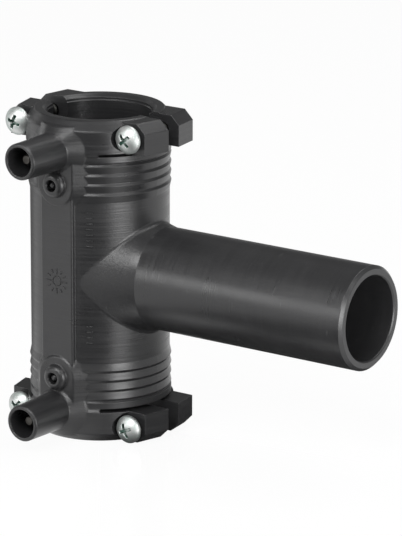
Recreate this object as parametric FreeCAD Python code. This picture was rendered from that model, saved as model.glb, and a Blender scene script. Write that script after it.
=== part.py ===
import FreeCAD, Part

import math
import os

# Electrofusion tee: two fusion sockets in line, each with a slotted clamp ring,
# and a plain spigot branch. Millimetres, +Z up along the run, branch along +X,
# terminals towards -Y.
# Everything is built about the crossing of the run axis and the branch axis, and
# moved at the end so that the origin lies at the lower socket's mouth.

Vec = FreeCAD.Vector
CENTRE = Vec(0, 0, 0)
X_DIR = Vec(1, 0, 0)
Y_DIR = Vec(0, 1, 0)
Z_DIR = Vec(0, 0, 1)
ENDS = {"upper": 1, "lower": -1}
tiny = 0.01

# Pipe that the tee joins
pipe_od = 40.0
pipe_wall = 3.7

# Run and its sockets
run_length = 127.0
socket_clearance = 0.2
socket_depth = 41.5
socket_wall = 6.8
mouth_flare = 1.8
mouth_lead_depth = 1.2
mouth_ledge = 0.3
mouth_step_depth = 1.2

# Clamp ring at each end, cut free by slits and a slot on either side
ring_height = 12.3
ring_step = 1.4
ring_end_chamfer = 3.5
ring_slit = 1.2
slit_half_angle = 54.0
slot_front = 3.1
slot_rear = 5.1

# Screw lugs: how far they stand out of the ring at the slot, and lose by their end
lug_front = 14.4
lug_front_proud = 6.6
lug_front_taper = 3.0
lug_rear = 16.8
lug_rear_proud = 5.4
lug_rear_taper = 1.8
lug_root_sink = 0.7
lug_end_drop = 0.3
lug_chamfer = 3.7

# Grip ribs round each fusion zone, each with its steep side towards the clamp ring
shoulder_height = 2.95
shoulder_chamfer = 0.5
rib_pitch = 3.77
rib_rise = 2.75
rib_count = 4
rib_height = 0.6

# Clamp screws, one for each pair of lugs, not yet drawn tight
screw_from_bore = 6.2
screw_r = 2.7
screw_tip_r = 0.9
screw_length = 30.0
screw_point = 3.0
screw_standoff = 2.4
screw_hole_clearance = 0.25
screw_pilot_spare = 1.0
screw_head_r = 5.5
screw_head_height = 3.9
screw_head_rim = 1.1
screw_pocket_clearance = 0.7

# Spigot branch and its cone root
branch_reach = 125.0
branch_tube_gap = 4.0
branch_root_start = 5.0
branch_root_slope = 0.247
branch_root_fillet = 1.8
branch_end_chamfer = 1.2
branch_bore_chamfer = 0.5

# Front rail that covers the link wire
rail_step = 0.8
rail_half_width = 7.45
rail_edge_r = 0.6

# Terminal pads: stadiums with sloped walls, round a terminal and an indicator
terminal_from_end = 12.0
indicator_spacing = 13.2
pad_step = 1.5
pad_half_width = 8.0
pad_slope_depth = 5.0
pad_edge_r = 0.5

# Terminal shrouds, each on a skirt that lies a little further out along the run
shroud_length = 21.85
shroud_mouth_r = 7.08
shroud_base_r = 7.5
shroud_rim_r = 0.5
shroud_bore_mouth_r = 5.65
shroud_bore_floor_r = 5.45
shroud_depth = 15.3
skirt_face_r = 9.4
skirt_foot_r = 12.5
skirt_shift = 1.0
skirt_tip_inset = 0.2
skirt_top = 9.9

# Contact pins
contact_r = 2.0
contact_below_mouth = 4.3
contact_tip_chamfer = 0.5
contact_anchor_r = 2.6
contact_anchor_length = 3.0
contact_tail_r = 1.5
contact_tail_past_lead = 0.2

# Fusion indicators
indicator_boss_r = 5.1
indicator_boss_height = 2.6
indicator_boss_bulge = 0.7
indicator_lip_r = 3.1
indicator_well_r = 2.3
indicator_well_depth = 3.9
indicator_pin_r = 1.25
indicator_pin_chamfer = 0.6
indicator_pin_clearance = 0.05
indicator_pin_below_lip = 0.5
indicator_wall_left = 0.9

# Heating windings of coated wire, set in a recess of the socket wall
coil_margin = 1.55
coil_turns = 8
coil_pitch = 1.9
coil_strand_width = 1.75
coil_strand_inner_width = 1.1
coil_strand_depth = 1.9
coil_strand_trim = 0.3
coil_seat_clearance = 0.05
lead_r = 0.45
lead_outward = 0.3

# Radii and distances from the run axis that follow
pipe_r = pipe_od / 2
socket_r = pipe_r + socket_clearance
waterway_r = pipe_r - pipe_wall
body_r = socket_r + socket_wall
ring_outer_r = body_r + ring_step
rail_face = body_r + rail_step
pad_face = body_r + pad_step
shroud_reach = pad_face + shroud_length
shroud_floor = shroud_reach - shroud_depth
contact_tip = shroud_reach - contact_below_mouth
indicator_lip = pad_face + indicator_boss_height
branch_tube_start = body_r + branch_tube_gap
screw_x = socket_r + screw_from_bore
coil_outer_r = socket_r + coil_strand_depth
lead_y = -(socket_r + coil_strand_depth / 2 + lead_outward)
indicator_channel_end = coil_outer_r + indicator_wall_left

# Heights above the branch axis that follow
run_half = run_length / 2
socket_stop = run_half - socket_depth
mouth_z = run_half - mouth_lead_depth - mouth_step_depth
ring_start = run_half - ring_height
fusion_body_end = ring_start - ring_slit
last_valley = fusion_body_end - shoulder_height
lug_end = run_half - lug_end_drop
screw_z = (ring_start + run_half) / 2
terminal_z = run_half - terminal_from_end
indicator_z = terminal_z - indicator_spacing
coil_end = fusion_body_end - coil_margin
coil_start = coil_end - coil_turns * coil_pitch - coil_strand_width


def revolve(points):
    """Solid turned about the run axis from a closed outline that may hold arcs."""
    edges = []
    for index, point in enumerate(points):
        end = points[(index + 1) % len(points)]
        if len(point) == 1:
            edges.append(Part.LineSegment(point[0], end[0]).toShape())
        else:
            edges.append(Part.Arc(point[0], point[1], end[0]).toShape())
    return Part.Face(Part.Wire(edges)).revolve(CENTRE, Z_DIR, 360)


def line_to(radius, height):
    """Outline point in the XZ plane that starts a straight edge."""
    return (Vec(radius, 0, height),)


def arc_to(radius, height, mid_radius, mid_height):
    """Outline point that starts an arc through the given middle point."""
    return (Vec(radius, 0, height), Vec(mid_radius, 0, mid_height))


def prism(corners, start, height):
    """Straight prism on an XY outline, from start up by height."""
    points = [Vec(x, y, start) for x, y in corners]
    face = Part.Face(Part.makePolygon(points + points[:1]))
    return face.extrude(Vec(0, 0, height))


def front_turned(outline, height):
    """Turn an outline of (radius, distance out) about an axis along -Y at this height."""
    solid = revolve(outline)
    solid.rotate(CENTRE, X_DIR, 90)
    solid.translate(Vec(0, 0, height))
    return solid


def mirrored_end(shape, side):
    """The upper end's shape as it is, or its mirror image for the lower end."""
    if side > 0:
        return shape
    return shape.mirror(CENTRE, Z_DIR)


def half_run():
    """Upper half of the run, solid: plain middle, ribs, shoulder and clamp ring."""
    crest = body_r + rib_height
    outline = [line_to(0, 0), line_to(body_r, 0)]
    for index in range(rib_count):
        valley = last_valley - (rib_count - index) * rib_pitch
        outline.append(line_to(body_r, valley))
        outline.append(line_to(crest, valley + rib_rise))
    outline.append(line_to(body_r, last_valley))
    outline.append(line_to(crest, last_valley + shoulder_chamfer))
    outline.append(line_to(crest, fusion_body_end))
    outline.append(line_to(ring_outer_r, ring_start))
    outline.append(line_to(ring_outer_r, run_half - ring_end_chamfer))
    outline.append(line_to(ring_outer_r - ring_end_chamfer, run_half))
    outline.append(line_to(0, run_half))
    return revolve(outline)


def branch_outside():
    """Spigot tube and its cone root, turned about the branch axis."""
    root_r = pipe_r + branch_root_slope * (branch_tube_start - branch_root_start)
    outline = [
        line_to(0, branch_root_start),
        line_to(root_r, branch_root_start),
        line_to(pipe_r, branch_tube_start),
        line_to(pipe_r, branch_reach - branch_end_chamfer),
        line_to(pipe_r - branch_end_chamfer, branch_reach),
        line_to(0, branch_reach),
    ]
    solid = revolve(outline)
    solid.rotate(CENTRE, Y_DIR, 90)
    return solid


def crease_edges(shape):
    """Edges where the cone root leaves the plain run."""
    found = []
    for edge in shape.Edges:
        middle = edge.valueAt((edge.FirstParameter + edge.LastParameter) / 2)
        root_r = pipe_r + branch_root_slope * (branch_tube_start - middle.x)
        on_run = abs(math.hypot(middle.x, middle.y) - body_r) < tiny
        on_root = abs(math.hypot(middle.y, middle.z) - root_r) < tiny
        if on_run and on_root:
            found.append(edge)
    return found


def run_and_branch():
    """Outside of the run with the branch blended into it."""
    upper = half_run()
    shape = upper.fuse(mirrored_end(upper, -1)).fuse(branch_outside()).removeSplitter()
    return shape.makeFillet(branch_root_fillet, crease_edges(shape))


def rail():
    """Front rail between the two pads, with rounded long edges."""
    length = 2 * indicator_z
    width = 2 * rail_half_width
    block = Part.makeBox(width, rail_face, length, Vec(-rail_half_width, -rail_face, -indicator_z))
    edges = []
    for edge in block.Edges:
        box = edge.BoundBox
        if box.YMax < tiny - rail_face and box.ZLength > tiny:
            edges.append(edge)
    return block.makeFillet(rail_edge_r, edges)


def stadium(radius, depth):
    """Wire round the terminal and the indicator, in the plane y = -depth."""
    top = terminal_z
    foot = indicator_z
    right = Part.LineSegment(Vec(radius, -depth, foot), Vec(radius, -depth, top))
    over = Part.Arc(Vec(radius, -depth, top), Vec(0, -depth, top + radius), Vec(-radius, -depth, top))
    left = Part.LineSegment(Vec(-radius, -depth, top), Vec(-radius, -depth, foot))
    under = Part.Arc(Vec(-radius, -depth, foot), Vec(0, -depth, foot - radius), Vec(radius, -depth, foot))
    return Part.Wire([side.toShape() for side in (right, over, left, under)])


def terminal_pad():
    """Upper pad: its front face, and walls that slope out to the run."""
    foot_r = pad_half_width + pad_slope_depth
    foot = stadium(foot_r, pad_face - pad_slope_depth)
    pad = Part.makeLoft([foot, stadium(pad_half_width, pad_face)], True, True)
    edges = [edge for edge in pad.Edges if edge.BoundBox.YMax < tiny - pad_face]
    return below_top(pad.makeFillet(pad_edge_r, edges))


def below_top(shape):
    """Cut the front forms of the upper end off under a flat top, short of the run's end."""
    reach = shroud_reach + skirt_foot_r
    keep = Part.makeBox(2 * reach, reach, terminal_z + skirt_top, Vec(-reach, -reach, 0))
    return shape.common(keep)


def shroud_outside():
    """Upper terminal shroud, solid, with its rounded rim."""
    outline = [
        line_to(0, body_r - pad_slope_depth),
        line_to(shroud_base_r, body_r - pad_slope_depth),
        line_to(shroud_base_r, pad_face),
        line_to(shroud_mouth_r, shroud_reach - shroud_rim_r),
        line_to(shroud_mouth_r - shroud_rim_r, shroud_reach),
        line_to(0, shroud_reach),
    ]
    return front_turned(outline, terminal_z)


def shroud_skirt():
    """Cone that carries the upper shroud on the pad and the clamp ring."""
    tip_r = shroud_base_r - skirt_shift - skirt_tip_inset
    foot = body_r - pad_slope_depth
    outline = [
        line_to(0, foot),
        line_to(skirt_foot_r, foot),
        line_to(skirt_foot_r, pad_face + skirt_face_r - skirt_foot_r),
        line_to(tip_r, pad_face + skirt_face_r - tip_r),
        line_to(0, pad_face + skirt_face_r - tip_r),
    ]
    return below_top(front_turned(outline, terminal_z + skirt_shift))


def shroud_bore():
    """Space inside the shroud, round the contact pin."""
    outline = [
        line_to(0, shroud_floor),
        line_to(shroud_bore_floor_r, shroud_floor),
        line_to(shroud_bore_mouth_r, shroud_reach),
        line_to(0, shroud_reach),
    ]
    return front_turned(outline, terminal_z)


def indicator_boss():
    """Domed boss that holds a fusion indicator, solid."""
    mid_r = indicator_lip_r + indicator_boss_bulge * (indicator_boss_r - indicator_lip_r)
    mid_height = pad_face + indicator_boss_bulge * indicator_boss_height
    outline = [
        line_to(0, body_r),
        line_to(indicator_boss_r, body_r),
        arc_to(indicator_boss_r, pad_face, mid_r, mid_height),
        line_to(indicator_lip_r, indicator_lip),
        line_to(0, indicator_lip),
    ]
    return front_turned(outline, indicator_z)


def indicator_well():
    """Open well at the boss's tip and the channel under it."""
    channel_r = indicator_pin_r + indicator_pin_clearance
    floor = indicator_lip - indicator_well_depth
    outline = [
        line_to(0, indicator_channel_end),
        line_to(channel_r, indicator_channel_end),
        line_to(channel_r, floor),
        line_to(indicator_well_r, floor),
        line_to(indicator_well_r, indicator_lip),
        line_to(0, indicator_lip),
    ]
    return front_turned(outline, indicator_z)


def indicator_pin():
    """Upper fusion indicator, resting on the end of its channel."""
    tip = indicator_lip - indicator_pin_below_lip
    outline = [
        line_to(0, indicator_channel_end),
        line_to(indicator_pin_r, indicator_channel_end),
        line_to(indicator_pin_r, tip - indicator_pin_chamfer),
        line_to(indicator_pin_r - indicator_pin_chamfer, tip),
        line_to(0, tip),
    ]
    return front_turned(outline, indicator_z)


def contact_pin():
    """Upper contact pin: tip, anchor in the moulding and tail to the winding."""
    anchor_foot = shroud_floor - contact_anchor_length
    tail_end = -lead_y - lead_r - contact_tail_past_lead
    outline = [
        line_to(0, tail_end),
        line_to(contact_tail_r, tail_end),
        line_to(contact_tail_r, anchor_foot),
        line_to(contact_anchor_r, anchor_foot),
        line_to(contact_anchor_r, shroud_floor),
        line_to(contact_r, shroud_floor),
        line_to(contact_r, contact_tip - contact_tip_chamfer),
        line_to(contact_r - contact_tip_chamfer, contact_tip),
        line_to(0, contact_tip),
    ]
    return front_turned(outline, terminal_z)


def lug(slot_y, end_y, proud, taper):
    """Upper right lug from the slot to end_y, with its outer edge chamfered."""
    root = socket_r - lug_root_sink
    reach = ring_outer_r + proud
    corners = [(root, slot_y), (reach, slot_y), (reach - taper, end_y), (root, end_y)]
    block = prism(corners, ring_start, lug_end - ring_start)
    outer = []
    for edge in block.Edges:
        box = edge.BoundBox
        if box.ZMin > lug_end - tiny and box.XMin > root + tiny and box.YLength > tiny:
            outer.append(edge)
    return block.makeChamfer(lug_chamfer, outer)


def lugs():
    """Front and rear lugs on both sides of the upper ring."""
    front = lug(-slot_front, -lug_front, lug_front_proud, lug_front_taper)
    rear = lug(slot_rear, lug_rear, lug_rear_proud, lug_rear_taper)
    return [front, rear, front.mirror(CENTRE, X_DIR), rear.mirror(CENTRE, X_DIR)]


def ring_cuts():
    """Slits under the upper ring and slots through it, on both sides."""
    reach = ring_outer_r + lug_front_proud + ring_outer_r
    angle = math.radians(slit_half_angle)
    far = (reach * math.cos(angle), reach * math.sin(angle))
    slit = prism([(0, 0), (far[0], -far[1]), (2 * reach, 0), far], fusion_body_end, ring_slit)
    height = run_half - fusion_body_end
    slot = Part.makeBox(reach, slot_front + slot_rear, height, Vec(0, -slot_front, fusion_body_end))
    right = slit.fuse(slot)
    return [right, right.mirror(CENTRE, X_DIR)]


def along_y(solid, turn):
    """Lay a turned solid along the Y axis, forward or back."""
    solid.rotate(CENTRE, X_DIR, turn)
    return solid


def screw_shank():
    """Shank along +Y from under the head, pointed at its end."""
    outline = [
        line_to(0, 0),
        line_to(screw_r, 0),
        line_to(screw_r, screw_length - screw_point),
        line_to(screw_tip_r, screw_length),
        line_to(0, screw_length),
    ]
    return along_y(revolve(outline), -90)


def screw_head():
    """Domed pan head towards -Y: a rim with a spherical cap."""
    rise = screw_head_height - screw_head_rim
    cap_r = (screw_head_r ** 2 + rise ** 2) / (2 * rise)
    half_way = math.asin(screw_head_r / cap_r) / 2
    mid_height = screw_head_height - cap_r * (1 - math.cos(half_way))
    outline = [
        line_to(0, 0),
        line_to(screw_head_r, 0),
        arc_to(screw_head_r, screw_head_rim, cap_r * math.sin(half_way), mid_height),
        line_to(0, screw_head_height),
    ]
    return along_y(revolve(outline), 90)


def screw_places(depth):
    """The four screw axes at this distance in front of the run axis."""
    return [Vec(side * screw_x, -depth, end * screw_z) for end in (1, -1) for side in (-1, 1)]


def clamp_screws():
    """The four screws as separate solids, their heads standing off the lugs."""
    screws = []
    for place in screw_places(lug_front + screw_standoff):
        screw = screw_shank().fuse(screw_head()).removeSplitter()
        screw.translate(place)
        screws.append(screw)
    return Part.makeCompound(screws)


def screw_cuts():
    """Head pocket and clearance hole in each front lug, pilot hole in each rear lug."""
    cuts = []
    pocket_r = screw_head_r + screw_pocket_clearance
    hole_r = screw_r + screw_hole_clearance
    for place in screw_places(lug_front):
        cuts.append(Part.makeCylinder(pocket_r, ring_outer_r, place, -Y_DIR))
        cuts.append(Part.makeCylinder(hole_r, lug_front - slot_front, place, Y_DIR))
    for place in screw_places(lug_front + screw_standoff):
        deep = Part.makeCylinder(screw_tip_r, screw_length + screw_pilot_spare, CENTRE, Y_DIR)
        pilot = screw_shank().fuse(deep)
        pilot.translate(place)
        cuts.append(pilot)
    return cuts


def socket_space():
    """Upper socket: stepped mouth, bore down to the stop, and the winding's recess."""
    ledge_z = run_half - mouth_lead_depth
    step_r = socket_r + mouth_ledge
    outline = [
        line_to(0, 0),
        line_to(waterway_r, 0),
        line_to(waterway_r, socket_stop),
        line_to(socket_r, socket_stop),
        line_to(socket_r, mouth_z),
        line_to(step_r, mouth_z + mouth_ledge),
        line_to(step_r, ledge_z),
        line_to(socket_r + mouth_flare - mouth_lead_depth, ledge_z),
        line_to(socket_r + mouth_flare, run_half),
        line_to(0, run_half),
    ]
    recess_r = coil_outer_r + coil_seat_clearance
    recess_start = coil_start - coil_seat_clearance
    recess_height = coil_end - coil_start + 2 * coil_seat_clearance
    recess = Part.makeCylinder(recess_r, recess_height, Vec(0, 0, recess_start))
    return revolve(outline).fuse(recess)


def branch_bore():
    """Waterway of the branch, with its inner end edge broken."""
    outline = [
        line_to(0, 0),
        line_to(waterway_r, 0),
        line_to(waterway_r, branch_reach - branch_bore_chamfer),
        line_to(waterway_r + branch_bore_chamfer, branch_reach),
        line_to(0, branch_reach),
    ]
    solid = revolve(outline)
    solid.rotate(CENTRE, Y_DIR, 90)
    return solid


def lead():
    """Wire from the upper winding's outer end up into the contact pin's tail."""
    start = coil_end - coil_strand_width / 2
    return Part.makeCylinder(lead_r, terminal_z - start, Vec(0, lead_y, start))


def link_wire():
    """Wire behind the rail, let into the inner ends of the two windings."""
    reach = coil_start + coil_strand_width / 2
    return Part.makeCylinder(lead_r, 2 * reach, Vec(0, lead_y, -reach))


def winding():
    """Upper winding: a helix of coated wire, flush with the socket's wall, and its lead."""
    wide = coil_strand_width / 2
    narrowing = (coil_strand_width - coil_strand_inner_width) / coil_strand_depth
    narrow = wide - narrowing * (coil_strand_depth + coil_strand_trim) / 2
    inner = socket_r - coil_strand_trim
    corners = [(coil_outer_r, -wide), (coil_outer_r, wide), (inner, narrow), (inner, -narrow)]
    points = [Vec(radius, 0, height) for radius, height in corners]
    strand = Part.Wire(Part.makePolygon(points + points[:1]))
    path = Part.Wire(Part.makeHelix(coil_pitch, coil_turns * coil_pitch, socket_r))
    helix = path.makePipeShell([strand], True, True)
    helix.rotate(CENTRE, Z_DIR, -90)
    helix.translate(Vec(0, 0, coil_start + wide))
    socket = Part.makeCylinder(socket_r, run_half)
    return helix.fuse(lead()).cut([contact_pin(), link_wire(), socket]).removeSplitter()


def tee_body():
    """The one moulding: outside forms joined first, then every hollow cut."""
    outside = [rail()]
    hollows = [branch_bore(), link_wire()]
    for side in ENDS.values():
        grown = [terminal_pad(), shroud_skirt(), shroud_outside(), indicator_boss()] + lugs()
        outside += [mirrored_end(shape, side) for shape in grown]
        cut = [socket_space(), shroud_bore(), indicator_well(), contact_pin(), lead()]
        hollows += [mirrored_end(shape, side) for shape in cut + ring_cuts()]
    body = run_and_branch().fuse(outside).removeSplitter()
    return body.cut(hollows + screw_cuts()).removeSplitter()


def nodes():
    """Every piece of the tee by name."""
    pieces = {"tee_body": tee_body(), "clamp_screws": clamp_screws(), "link_wire": link_wire()}
    for name, side in ENDS.items():
        pieces[name + "_coil"] = mirrored_end(winding(), side)
        pieces[name + "_terminal_pin"] = mirrored_end(contact_pin(), side)
        pieces[name + "_indicator_pin"] = mirrored_end(indicator_pin(), side)
    return pieces


def main():
    os.makedirs("parts", exist_ok=True)
    for name, shape in nodes().items():
        shape.translate(Vec(0, 0, mouth_z))
        shape.exportStep("parts/" + name + ".step")
        print(name, len(shape.Solids), shape.isValid(), round(shape.Volume, 1))


main()
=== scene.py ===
import math

import bmesh
import bpy
from mathutils import Matrix, Vector


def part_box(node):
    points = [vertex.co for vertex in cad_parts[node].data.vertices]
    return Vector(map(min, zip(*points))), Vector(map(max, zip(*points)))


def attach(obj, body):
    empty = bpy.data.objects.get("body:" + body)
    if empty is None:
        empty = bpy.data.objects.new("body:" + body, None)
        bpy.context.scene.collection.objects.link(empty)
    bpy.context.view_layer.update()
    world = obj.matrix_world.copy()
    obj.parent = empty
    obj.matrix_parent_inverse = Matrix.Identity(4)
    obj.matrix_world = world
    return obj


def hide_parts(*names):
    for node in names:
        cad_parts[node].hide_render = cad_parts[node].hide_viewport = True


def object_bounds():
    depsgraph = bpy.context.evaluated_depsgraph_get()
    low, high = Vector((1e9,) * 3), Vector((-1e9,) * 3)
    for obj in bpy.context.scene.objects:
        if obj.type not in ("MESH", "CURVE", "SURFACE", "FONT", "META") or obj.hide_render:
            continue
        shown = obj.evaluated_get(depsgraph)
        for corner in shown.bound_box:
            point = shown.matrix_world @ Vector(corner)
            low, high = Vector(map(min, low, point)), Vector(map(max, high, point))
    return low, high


# Looks of the electrofusion tee. Metres, +Z up along the run, the branch along +X,
# the terminals towards -Y. Named angles are in degrees.

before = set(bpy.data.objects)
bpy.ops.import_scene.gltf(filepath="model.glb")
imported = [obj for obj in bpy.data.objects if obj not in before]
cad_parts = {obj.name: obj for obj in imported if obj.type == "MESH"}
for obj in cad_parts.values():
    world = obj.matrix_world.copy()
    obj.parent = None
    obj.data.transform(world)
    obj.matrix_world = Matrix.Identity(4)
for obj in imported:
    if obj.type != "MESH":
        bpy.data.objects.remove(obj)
cad_low, cad_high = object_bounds()

MM = 0.001

# Sizes of the solids, as in the part's source
crossing = Vector((0, 0, (cad_low.z + cad_high.z) / 2))
run_r = 27.0 * MM
rail_face = 27.8 * MM
branch_r = 20.0 * MM

# Camera, fitted to the photograph about the crossing of the axes
camera_azimuth = 35.4
camera_elevation = 15.73
camera_roll = 0.146
camera_distance = 1494.78 * MM
camera_right = 39.099 * MM
camera_up = -0.988 * MM
focal_pixels = 3847.7
image_height = 536
sensor_long = 36.0

# Floor: its own grey and shine, and how much of it the camera sees as plain white
floor_half_size = 4.0
floor_grey = 0.65
floor_white_share = 0.94
floor_specular = 0.22
floor_roughness = 1.0
floor_shine_roughness = 0.15

# What gloss sees of the floor: a dim patch round this place under the branch, white beyond it
dim_patch = (70 * MM, 20 * MM, 0)
dim_patch_shape = (0.8, 1, 1)
dim_patch_share = 0.05
dim_patch_end = 54 * MM
white_start = 76 * MM

# Sides of the studio, as azimuths: two dark ones, and the one where the floor shines
camera_side = 24
back_left_side = -128
shiny_side = 68

# Width of a side: cosines of the angles from its middle at which it starts and is full
narrow_side = (0.82, 0.94)
wide_side = (0.7, 0.9)

# Share of white left on the dark sides, and how far out on the floor they start and are full
floor_dark_sides = {camera_side: 0.0, back_left_side: 0.2}
world_back_left_share = 0.45
dark_side_start = 48 * MM
dark_side_full = 80 * MM

# World: one level up to the first elevation, another one from the second elevation up
horizon_level = 1.0
horizon_elevation = 2
ceiling_level = 0.2
ceiling_elevation = 11

# Usual distance of a lamp from the crossing of the axes
lamp_distance = 1.2

# Usual range of a noise's values
noise_low = 0.3
noise_high = 0.7

# Where the looks of the body change: none at the first value, full at the second
cone_fade = (branch_r + 8.0 * MM, branch_r + 6.5 * MM)
tube_fade = (branch_r + 0.2 * MM, branch_r + 1.0 * MM)
run_fade = (run_r + 0.1 * MM, run_r + 0.6 * MM)
branch_fade = (8 * MM, 12 * MM)
front_fade = (-20 * MM, -24 * MM)
edge_r = 0.3 * MM
front_edge_r = 1.0 * MM

# Heads of the clamp screws
head_r = 5.5 * MM
head_height = 3.9 * MM
head_rim = 1.1 * MM
head_edge = 0.35 * MM
head_edge_angles = (0, 25, 50, 70, 90)
head_rings = 44
head_points = 144

# Cross recess, and how far it is turned in each screw, by side and end
recess_arm = 2.75 * MM
recess_half_width = 0.62 * MM
recess_taper = 0.18
recess_floor = 2.5 * MM
recess_arm_floor = 1.6 * MM
recess_ramp = 1.35
recess_wall = 0.28 * MM
recess_core = 1.05 * MM
recess_turns = {(-1, 1): 18, (1, 1): 52, (-1, -1): 35, (1, -1): 68}

# Thread, its flank in shares of half a pitch
thread_crest = 2.7 * MM
thread_core = 2.1 * MM
thread_pitch = 2.2 * MM
thread_flank_start = 0.35
thread_flank = 0.5
thread_tip = 0.9 * MM
thread_point = 3.0 * MM
thread_points = 40
thread_rings_per_pitch = 12

# Moulded marks. A profile has shares of the width from the middle, each with its height
mark_height = 0.28 * MM
mark_sink = 0.15 * MM
bar_width = 0.5 * MM
bar_profile = ((0.5, -mark_sink), (0.5, 0.35 * mark_height), (0.4, 0.8 * mark_height), (0.22, mark_height))
ring_half_profile = ((0.5, -mark_sink), (0.42, 0.6 * mark_height), (0.2, mark_height))
ring_points = 64

# Ticks on the run: how many, and the height of their middle over the crossing
tick_columns = {"upper_ticks": (7, 21.5 * MM), "lower_ticks": (4, -20.3 * MM)}
tick_angle = -62
tick_length = 2.6 * MM
tick_spacing = 2.2 * MM

# Dial on the rail
dial_ticks = 12
dial_r = 4.9 * MM
dial_long_tick = 2.2 * MM
dial_short_tick = 1.4 * MM
dial_ring_r = 1.9 * MM
dial_ring_width = 0.45 * MM


def grey(value, blue=1.0):
    return (value, value, value * blue, 1.0)


def toward(azimuth, elevation):
    """Unit vector from the object to a place round it. Azimuth 0 is in front, 90 at +X."""
    a, e = math.radians(azimuth), math.radians(elevation)
    return Vector((math.sin(a) * math.cos(e), -math.cos(a) * math.cos(e), math.sin(e)))


class Graph:
    """Short way to write the nodes of one new material, or of the world."""

    def __init__(self, name, world=None):
        self.material = world or bpy.data.materials.new(name)
        self.material.use_nodes = True
        self.tree = self.material.node_tree
        self.tree.nodes.clear()
        kind = "ShaderNodeOutputWorld" if world else "ShaderNodeOutputMaterial"
        self.output = self.tree.nodes.new(kind)

    def node(self, kind, inputs=None, **settings):
        made = self.tree.nodes.new(kind)
        for key, value in settings.items():
            setattr(made, key, value)
        for key, value in (inputs or {}).items():
            self.feed(made.inputs[key], value)
        return made

    def feed(self, socket, value):
        if isinstance(value, bpy.types.NodeSocket):
            self.tree.links.new(value, socket)
        else:
            socket.default_value = value

    def place(self):
        """Place on the object, in metres."""
        return self.node("ShaderNodeTexCoord").outputs["Object"]

    def axis(self, vector, letter):
        return self.node("ShaderNodeSeparateXYZ", {0: vector}).outputs[letter]

    def math(self, operation, *values):
        return self.node("ShaderNodeMath", dict(enumerate(values)), operation=operation).outputs[0]

    def vector(self, operation, *values):
        made = self.node("ShaderNodeVectorMath", dict(enumerate(values)), operation=operation)
        return made.outputs["Value" if operation in ("LENGTH", "DOT_PRODUCT") else "Vector"]

    def distance(self, place, middle, scales):
        """Distance from a middle, scaled along each axis. A scale of 0 makes the middle a line."""
        offset = self.vector("SUBTRACT", place, middle)
        return self.vector("LENGTH", self.vector("MULTIPLY", offset, scales))

    def between(self, value, low, high, to_low=0.0, to_high=1.0):
        """Value taken from low..high to another range, smooth at both ends."""
        inputs = {"Value": value, "From Min": low, "From Max": high, "To Min": to_low, "To Max": to_high}
        return self.node("ShaderNodeMapRange", inputs, interpolation_type="SMOOTHSTEP").outputs[0]

    def spread(self, noise, to_low=0.0, to_high=1.0):
        """Noise taken from its usual range to another one."""
        return self.between(noise, noise_low, noise_high, to_low, to_high)

    def side(self, outward, azimuth, width, elsewhere, there):
        """One value on the side of this azimuth, and another one elsewhere."""
        facing = self.vector("DOT_PRODUCT", outward, toward(azimuth, 0))
        return self.between(facing, *width, elsewhere, there)

    def noise(self, vector, scale, detail=2.0, roughness=0.5):
        inputs = {"Vector": vector, "Scale": scale, "Detail": detail, "Roughness": roughness}
        return self.node("ShaderNodeTexNoise", inputs).outputs["Fac"]

    def streaks(self, vector, scales, detail=2.0):
        """Noise with its own scale along each axis."""
        return self.noise(self.vector("MULTIPLY", vector, scales), scale=1.0, detail=detail)

    def mix(self, factor, first, second):
        made = self.node("ShaderNodeMix", {0: factor, 2: first, 3: second}, data_type="FLOAT")
        return made.outputs[0]

    def blend(self, factor, first, second):
        """Mix of two colours."""
        made = self.node("ShaderNodeMix", {0: factor, 6: first, 7: second}, data_type="RGBA")
        return made.outputs[2]

    def bump(self, height, strength, distance, normal=None):
        made = self.node("ShaderNodeBump", {"Height": height, "Strength": strength, "Distance": distance})
        if normal is not None:
            self.feed(made.inputs["Normal"], normal)
        return made.outputs[0]

    def principled(self, **inputs):
        """Principled shader as the surface, with the names of its inputs in small letters."""
        named = {}
        for key, value in inputs.items():
            named[key.replace("_", " ").title().replace("Ior", "IOR")] = value
        shader = self.node("ShaderNodeBsdfPrincipled", named)
        self.tree.links.new(shader.outputs[0], self.output.inputs["Surface"])


def branch_masks(g, place):
    """1 on the outside of the branch with its cone, and 1 on the cone alone."""
    from_branch = g.distance(place, crossing, (0, 1, 1))
    from_run = g.distance(place, crossing, (1, 1, 0))
    past_run = g.math("MULTIPLY", g.between(from_branch, *cone_fade), g.between(from_run, *run_fade))
    on_branch = g.math("MULTIPLY", past_run, g.between(g.axis(place, "X"), *branch_fade))
    on_cone = g.math("MULTIPLY", on_branch, g.between(from_branch, *tube_fade))
    return on_branch, on_cone


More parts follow.
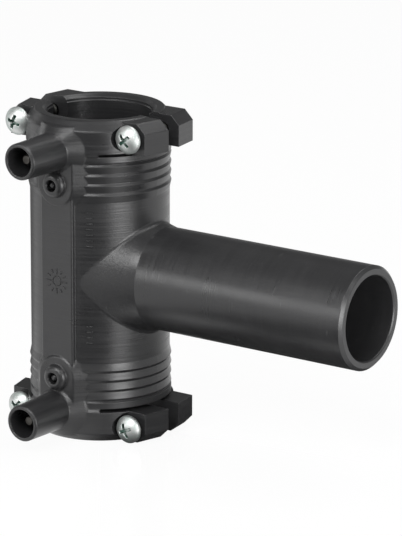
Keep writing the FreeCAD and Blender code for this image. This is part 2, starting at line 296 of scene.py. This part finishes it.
def polyethylene():
    """Satin black polyethylene, with fine lines round the run and fainter ones round the branch."""
    dark = grey(0.0155, blue=1.05)
    light = grey(0.021, blue=1.04)
    scuffed = grey(0.07)
    moulded_bump = 0.28
    blasted_bump = 0.75
    g = Graph("black_polyethylene")
    place = g.place()
    on_branch, on_cone = branch_masks(g, place)
    round_run = g.streaks(place, (35, 35, 1500), detail=1.0)
    round_branch = g.streaks(place, (1600, 40, 40), detail=1.0)
    fainter = g.mix(0.5, round_branch, 0.5)
    lines = g.mix(on_branch, round_run, fainter)
    moulded = g.noise(place, scale=1700.0, detail=3.0, roughness=0.6)
    blasted = g.noise(place, scale=1300.0, detail=3.0, roughness=0.65)
    grain = g.mix(on_cone, moulded, blasted)
    cloud = g.noise(place, scale=38.0, detail=3.0, roughness=0.6)
    scratches = g.between(g.streaks(place, (700, 160, 160)), low=0.66, high=0.8)
    scuff = g.math("MULTIPLY", scratches, on_branch)

    edge = g.mix(g.between(g.axis(place, "Y"), *front_fade), edge_r, front_edge_r)
    normal = g.node("ShaderNodeBevel", {"Radius": edge}, samples=8).outputs[0]
    grain_bump = g.mix(on_cone, moulded_bump, blasted_bump)
    normal = g.bump(grain, strength=grain_bump, distance=0.12 * MM, normal=normal)
    normal = g.bump(lines, strength=0.5, distance=0.09 * MM, normal=normal)

    streak = g.between(g.mix(on_cone, lines, grain), low=0.36, high=0.64)
    tone = g.mix(0.5, g.spread(cloud), streak)
    colour = g.blend(tone, dark, light)
    colour = g.blend(g.math("MULTIPLY", scuff, 0.5), colour, scuffed)
    rough = g.between(cloud, low=0.25, high=0.75, to_low=0.26, to_high=0.32)
    for mask, share in ((streak, 0.07), (scuff, 0.08), (on_cone, 0.04)):
        rough = g.math("MULTIPLY_ADD", mask, share, rough)
    g.principled(base_color=colour, roughness=rough, ior=1.54, normal=normal)
    return g.material


def zinc(seat_y):
    """Bright zinc plate on the screws, with painted dark green shade down in the recess and where the head
    meets the lug, and dull with painted near-black shade on the shanks.
    """
    bright = (0.64, 0.65, 0.64, 1.0)
    pale_green = (0.55, 0.60, 0.58, 1.0)
    recess_painted_shade = (0.14, 0.24, 0.2, 1.0)
    painted_shank_shade = (0.04, 0.04, 0.037, 1.0)
    g = Graph("bright_zinc")
    place = g.place()
    cloud = g.noise(place, scale=420.0, detail=3.0, roughness=0.6)
    grain = g.noise(place, scale=5200.0, detail=2.0, roughness=0.6)
    colour = g.blend(g.between(cloud, low=0.35, high=0.65), bright, pale_green)
    # Painted shade: ambient occlusion turns the zinc dark green in the cross recess and where the head
    # meets the lug.
    inputs = {"Distance": 1.6 * MM, "Color": grey(1.0)}
    open_sky = g.node("ShaderNodeAmbientOcclusion", inputs, samples=12, only_local=True).outputs["AO"]
    colour = g.blend(g.between(open_sky, low=0.75, high=0.4), colour, recess_painted_shade)
    rough = g.math("MULTIPLY_ADD", grain, 0.08, g.spread(cloud, to_low=0.42, to_high=0.5))
    # Painted shade: behind the seat the shank is coloured near black, as if in shade between the lugs, and
    # made rougher.
    shank = g.between(g.axis(place, "Y"), seat_y, seat_y + 1.0 * MM)
    colour = g.blend(shank, colour, painted_shank_shade)
    rough = g.mix(shank, rough, 0.55)
    normal = g.bump(grain, strength=0.15, distance=0.04 * MM)
    g.principled(base_color=colour, roughness=rough, metallic=1.0, normal=normal)
    return g.material


def tinned_brass():
    """Tin plate on the contact pins, drawn along the pin, its colour made far darker than tin so the pins
    render dim: painted shade.
    """
    light = (0.09, 0.086, 0.08, 1.0)
    dark = (0.06, 0.057, 0.052, 1.0)
    g = Graph("tinned_brass")
    place = g.place()
    drawn = g.streaks(place, (5000, 200, 5000))
    cloud = g.noise(place, scale=600.0)
    colour = g.blend(g.spread(cloud), light, dark)
    rough = g.spread(drawn, to_low=0.3, to_high=0.42)
    normal = g.bump(drawn, strength=0.1, distance=0.03 * MM)
    g.principled(base_color=colour, roughness=rough, metallic=1.0, normal=normal)
    return g.material


def coated_wire():
    """Black coat of the heating wire, a little duller than the body."""
    dark = grey(0.018)
    light = grey(0.028)
    g = Graph("coated_wire")
    place = g.place()
    cloud = g.noise(place, scale=160.0, detail=3.0)
    grain = g.noise(place, scale=3000.0)
    colour = g.blend(g.spread(cloud), dark, light)
    rough = g.spread(cloud, to_low=0.45, to_high=0.56)
    normal = g.bump(grain, strength=0.2, distance=0.05 * MM)
    g.principled(base_color=colour, roughness=rough, normal=normal)
    return g.material


def bare_wire():
    """Copper alloy of the link wire."""
    light = (0.72, 0.42, 0.26, 1.0)
    dark = (0.58, 0.32, 0.2, 1.0)
    g = Graph("bare_wire")
    cloud = g.noise(g.place(), scale=900.0)
    colour = g.blend(cloud, light, dark)
    rough = g.spread(cloud, to_low=0.3, to_high=0.42)
    normal = g.bump(cloud, strength=0.1, distance=0.02 * MM)
    g.principled(base_color=colour, roughness=rough, metallic=1.0, normal=normal)
    return g.material


def mirrored_white(g, place, outward):
    """Share of white that gloss sees on the floor: little in the dim patch and on the dark sides."""
    from_patch = g.distance(place, dim_patch, dim_patch_shape)
    share = g.between(from_patch, dim_patch_end, white_start, dim_patch_share, 1.0)
    away = g.between(g.vector("LENGTH", place), dark_side_start, dark_side_full)
    for azimuth, left in floor_dark_sides.items():
        dark = g.side(outward, azimuth, narrow_side, elsewhere=1.0, there=left)
        share = g.math("MULTIPLY", share, g.mix(away, 1.0, dark))
    return share


def white_stage():
    """Pale floor that keeps the shadow, looks white to the camera and to gloss, and shines on one side."""
    g = Graph("white_stage")
    path = g.node("ShaderNodeLightPath").outputs
    place = g.place()
    outward = g.vector("NORMALIZE", place)
    seen = g.math("MULTIPLY", path["Is Camera Ray"], floor_white_share)
    mirrored = g.math("MAXIMUM", path["Is Glossy Ray"], path["Is Transmission Ray"])
    white = g.math("MULTIPLY_ADD", mirrored, mirrored_white(g, place, outward), seen)
    lit = g.math("SUBTRACT", g.math("SUBTRACT", 1.0, seen), mirrored)
    g.principled(
        base_color=g.blend(lit, grey(0.0), grey(floor_grey)),
        roughness=g.side(outward, shiny_side, wide_side, floor_roughness, floor_shine_roughness),
        specular_ior_level=floor_specular,
        emission_color=grey(1.0),
        emission_strength=white,
    )
    return g.material


def set_world():
    """Studio that is white round the horizon, dims towards the ceiling and is darker at the back left."""
    bpy.context.scene.world = bpy.data.worlds.new("studio")
    g = Graph("studio", bpy.context.scene.world)
    outward = g.node("ShaderNodeTexCoord").outputs["Generated"]
    rise = (math.sin(math.radians(horizon_elevation)), math.sin(math.radians(ceiling_elevation)))
    level = g.between(g.axis(outward, "Z"), *rise, horizon_level, ceiling_level)
    dimmed = g.side(outward, back_left_side, wide_side, elsewhere=1.0, there=world_back_left_share)
    level = g.math("MULTIPLY", level, dimmed)
    light = g.node("ShaderNodeBackground", {"Color": grey(1.0), "Strength": level})
    g.tree.links.new(light.outputs[0], g.output.inputs["Surface"])


def add_lamp(name, azimuth, elevation, size, power, distance=lamp_distance):
    """Soft rectangular lamp that faces the crossing of the axes."""
    data = bpy.data.lights.new(name, "AREA")
    data.shape = "RECTANGLE"
    data.size, data.size_y = size
    data.energy = power
    lamp = bpy.data.objects.new(name, data)
    bpy.context.scene.collection.objects.link(lamp)
    direction = toward(azimuth, elevation)
    lamp.location = crossing + direction * distance
    lamp.rotation_mode = "QUATERNION"
    lamp.rotation_quaternion = direction.to_track_quat("Z", "Y")
    lamp.visible_camera = False


def add_lamps():
    """Large softboxes round the part, and a weak strip low at the right."""
    add_lamp("left_softbox", azimuth=-34, elevation=15, size=(0.5, 0.34), power=2.3)
    add_lamp("right_softbox", azimuth=68, elevation=10, size=(0.34, 0.34), power=1.2, distance=0.7)
    add_lamp("low_right_strip", azimuth=69, elevation=3.5, size=(0.14, 0.11), power=0.22, distance=0.32)
    add_lamp("front_softbox", azimuth=4, elevation=43, size=(0.85, 0.5), power=10.5)
    add_lamp("top_softbox", azimuth=80, elevation=52, size=(0.7, 0.55), power=2.8)
    add_lamp("back_left_softbox", azimuth=-98, elevation=18, size=(0.3, 0.4), power=0.6)
    add_lamp("rear_softbox", azimuth=160, elevation=66, size=(0.6, 0.5), power=5.0)


def add_camera():
    """Camera at the photograph's place, with its roll and focal length."""
    back = toward(camera_azimuth, camera_elevation)
    right = toward(camera_azimuth + 90, 0)
    up = back.cross(right)
    roll = math.radians(camera_roll)
    image_right = right * math.cos(roll) + up * math.sin(roll)
    image_up = up * math.cos(roll) - right * math.sin(roll)
    data = bpy.data.cameras.new("camera")
    data.sensor_width = sensor_long
    data.lens = focal_pixels / image_height * sensor_long
    camera = bpy.data.objects.new("camera", data)
    bpy.context.scene.collection.objects.link(camera)
    matrix = Matrix((image_right, image_up, back)).transposed().to_4x4()
    matrix.translation = crossing + right * camera_right + up * camera_up + back * camera_distance
    camera.matrix_world = matrix
    bpy.context.scene.camera = camera


def add_floor():
    """Floor under the part's foot, as stage."""
    bm = bmesh.new()
    bmesh.ops.create_grid(bm, x_segments=1, y_segments=1, size=floor_half_size)
    mesh = bpy.data.meshes.new("floor")
    bm.to_mesh(mesh)
    bm.free()
    floor = bpy.data.objects.new("floor", mesh)
    floor.location.z = cad_low.z
    bpy.context.scene.collection.objects.link(floor)
    mesh.materials.append(white_stage())


def new_piece(name, bm, material, smooth=True):
    """Object from a bmesh that rides on the one body."""
    bmesh.ops.recalc_face_normals(bm, faces=bm.faces)
    mesh = bpy.data.meshes.new(name)
    bm.to_mesh(mesh)
    bm.free()
    if smooth:
        mesh.shade_smooth()
    piece = bpy.data.objects.new(name, mesh)
    bpy.context.scene.collection.objects.link(piece)
    mesh.materials.append(material)
    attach(piece, "root")
    return piece


def spokes(count):
    """Angles spread evenly over one turn, in radians."""
    return [2 * math.pi * index / count for index in range(count)]


def join_rings(bm, lower, upper):
    """Faces between two closed rings of as many points."""
    for index, corner in enumerate(lower):
        after = (index + 1) % len(lower)
        bm.faces.new((corner, lower[after], upper[after], upper[index]))


def add_rings(bm, rows):
    """Closed rings of points, with faces between each two."""
    made = [[bm.verts.new(point) for point in row] for row in rows]
    for lower, upper in zip(made, made[1:]):
        join_rings(bm, lower, upper)
    return made


def ease(value):
    """Smooth step from 0 to 1."""
    value = min(1.0, max(0.0, value))
    return value * value * (3 - 2 * value)


def head_top(radius):
    """Height of the domed head above its seat at this radius, its edge rounded."""
    rise = head_height - head_rim
    cap_r = (head_r ** 2 + rise ** 2) / (2 * rise)
    dome = head_height - cap_r + math.sqrt(cap_r ** 2 - radius ** 2)
    edge = max(0.0, radius - (head_r - head_edge))
    return dome - (head_edge - math.sqrt(max(0.0, head_edge ** 2 - edge ** 2)))


def recess_depth(radius, angle):
    """How deep the cross recess lies under the head's top at this place."""
    deepest = recess_floor * ease((recess_core - radius) / recess_wall + 0.5)
    for quarter in range(4):
        turn = angle - quarter * math.pi / 2
        along, across = radius * math.cos(turn), abs(radius * math.sin(turn))
        if along < 0:
            continue
        half = recess_half_width * (1.0 - recess_taper * along / recess_arm)
        side = ease((half - across) / recess_wall + 0.5)
        end = ease((recess_arm - along) / recess_wall + 0.5)
        ramp = ease(recess_ramp * (1 - along / recess_arm))
        floor = recess_arm_floor + (recess_floor - recess_arm_floor) * ramp
        deepest = max(deepest, floor * side * end)
    return deepest


def level_ring(radius, height, count):
    """Ring of points round the screw's axis."""
    return [(radius * math.cos(angle), radius * math.sin(angle), height) for angle in spokes(count)]


def head_rows(turn):
    """Rings of points of one head, from the seat over the rim to the middle."""
    rows = [level_ring(radius, 0, head_points) for radius in (thread_core, head_r - head_edge / 2)]
    rows.append(level_ring(head_r, head_edge / 2, head_points))
    radii = [head_r - head_edge * (1 - math.cos(math.radians(angle))) for angle in head_edge_angles]
    flat_r = radii[-1]
    radii += [flat_r * (1 - index / head_rings) for index in range(1, head_rings)]
    for radius in radii:
        top = head_top(radius)
        row = []
        for angle in spokes(head_points):
            height = top - recess_depth(radius, angle + turn)
            row.append((radius * math.cos(angle), radius * math.sin(angle), height))
        rows.append(row)
    rows.append([(0, 0, head_height - recess_floor)])
    return rows


def thread_rows(length):
    """Rings of points of one threaded shank, from the head's seat to the point."""
    step = thread_pitch / thread_rings_per_pitch
    count = int(length / step)
    rows = []
    for index in range(count + 1):
        depth = length * index / count
        left = (length - depth) / thread_point
        row = []
        for spoke, angle in enumerate(spokes(thread_points)):
            turns = depth / thread_pitch - spoke / thread_points
            wave = 1 - abs(2 * (turns - math.floor(turns)) - 1)
            crest = ease((wave - thread_flank_start) / thread_flank)
            radius = thread_core + (thread_crest - thread_core) * crest
            radius = min(radius, thread_tip + (radius - thread_tip) * min(1.0, left))
            row.append((radius * math.cos(angle), radius * math.sin(angle), -depth))
        rows.append(row)
    return rows


def add_surface(bm, rows, matrix):
    """Surface through rings of points. Its last row is one point, or else a ring that is capped."""
    placed = [[matrix @ Vector(point) for point in row] for row in rows]
    pointed = len(placed[-1]) == 1
    last = add_rings(bm, placed[:-1] if pointed else placed)[-1]
    if pointed:
        tip = bm.verts.new(placed[-1][0])
        for vertex, after in zip(last, last[1:] + last[:1]):
            bm.faces.new((vertex, after, tip))
    else:
        bm.faces.new(last)


def clamp_screws():
    """Four pan head screws with a cross recess and a cut thread."""
    low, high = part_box("clamp_screws")
    place_x = high.x - head_r
    place_z = (high.z - low.z) / 2 - head_r
    seat_y = low.y + head_height
    length = high.y - seat_y
    towards_front = Matrix(((1, 0, 0), (0, 0, -1), (0, 1, 0))).to_4x4()
    bm = bmesh.new()
    for (side, end), turn in recess_turns.items():
        seat = Vector((side * place_x, seat_y, crossing.z + end * place_z))
        place = Matrix.Translation(seat) @ towards_front
        add_surface(bm, head_rows(math.radians(turn)), place)
        add_surface(bm, thread_rows(length), place)
    piece = new_piece("zinc_clamp_screws", bm, zinc(seat_y))
    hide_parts("clamp_screws")


def add_bar(bm, centre, along, up, length):
    """Raised bar with sloped sides, sunk a little into the surface."""
    across = up.cross(along)
    corners = ((1, 1), (-1, 1), (-1, -1), (1, -1))
    rows = []
    for share, height in bar_profile:
        half_length = along * (length / 2 - (0.5 - share) * bar_width)
        half_width = across * (bar_width * share)
        rows.append([centre + half_length * a + half_width * b + up * height for a, b in corners])
    made = add_rings(bm, rows)
    bm.faces.new(made[-1])
    bm.faces.new(list(reversed(made[0])))


def add_ring(bm, middle, radius, width):
    """Raised ring with a rounded top on the rail's face."""
    profile = [(-share, height) for share, height in ring_half_profile]
    profile += reversed(ring_half_profile)
    rows = []
    for share, height in profile:
        r = radius + share * width
        ring = [(r * math.cos(angle), -height, r * math.sin(angle)) for angle in spokes(ring_points)]
        rows.append([middle + Vector(point) for point in ring])
    made = add_rings(bm, rows)
    join_rings(bm, made[-1], made[0])


def body_ticks(name, count, middle, material):
    """Plain raised ticks in a column on the run, where such fittings carry moulded marks."""
    angle = math.radians(tick_angle)
    up = Vector((math.cos(angle), math.sin(angle), 0))
    along = Vector((-math.sin(angle), math.cos(angle), 0))
    bm = bmesh.new()
    for index in range(count):
        height = middle + (index - (count - 1) / 2) * tick_spacing
        add_bar(bm, crossing + up * run_r + Vector((0, 0, height)), along, up, tick_length)
    new_piece(name, bm, material, smooth=False)


def rail_dial(material):
    """Plain dial of raised ticks on the rail, as moulds carry to show a date."""
    bm = bmesh.new()
    up = Vector((0, -1, 0))
    middle = crossing + up * rail_face
    for index, angle in enumerate(spokes(dial_ticks)):
        along = Vector((math.cos(angle), 0, math.sin(angle)))
        length = dial_long_tick if index % 3 == 0 else dial_short_tick
        add_bar(bm, middle + along * (dial_r - length / 2), along, up, length)
    add_ring(bm, middle, dial_ring_r, dial_ring_width)
    new_piece("rail_dial", bm, material, smooth=False)


def dress_node(name, material):
    """Give a CAD node its finished material."""
    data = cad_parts[name].data
    data.materials.clear()
    data.materials.append(material)


def main():
    bpy.context.scene.view_settings.view_transform = "Standard"
    body = polyethylene()
    metal = tinned_brass()
    coat = coated_wire()
    dress_node("tee_body", body)
    dress_node("link_wire", bare_wire())
    for end in ("upper", "lower"):
        dress_node(end + "_coil", coat)
        dress_node(end + "_terminal_pin", metal)
        dress_node(end + "_indicator_pin", body)
    clamp_screws()
    rail_dial(body)
    for name, (count, middle) in tick_columns.items():
        body_ticks(name, count, middle, body)
    add_floor()
    set_world()
    add_lamps()
    add_camera()


main()
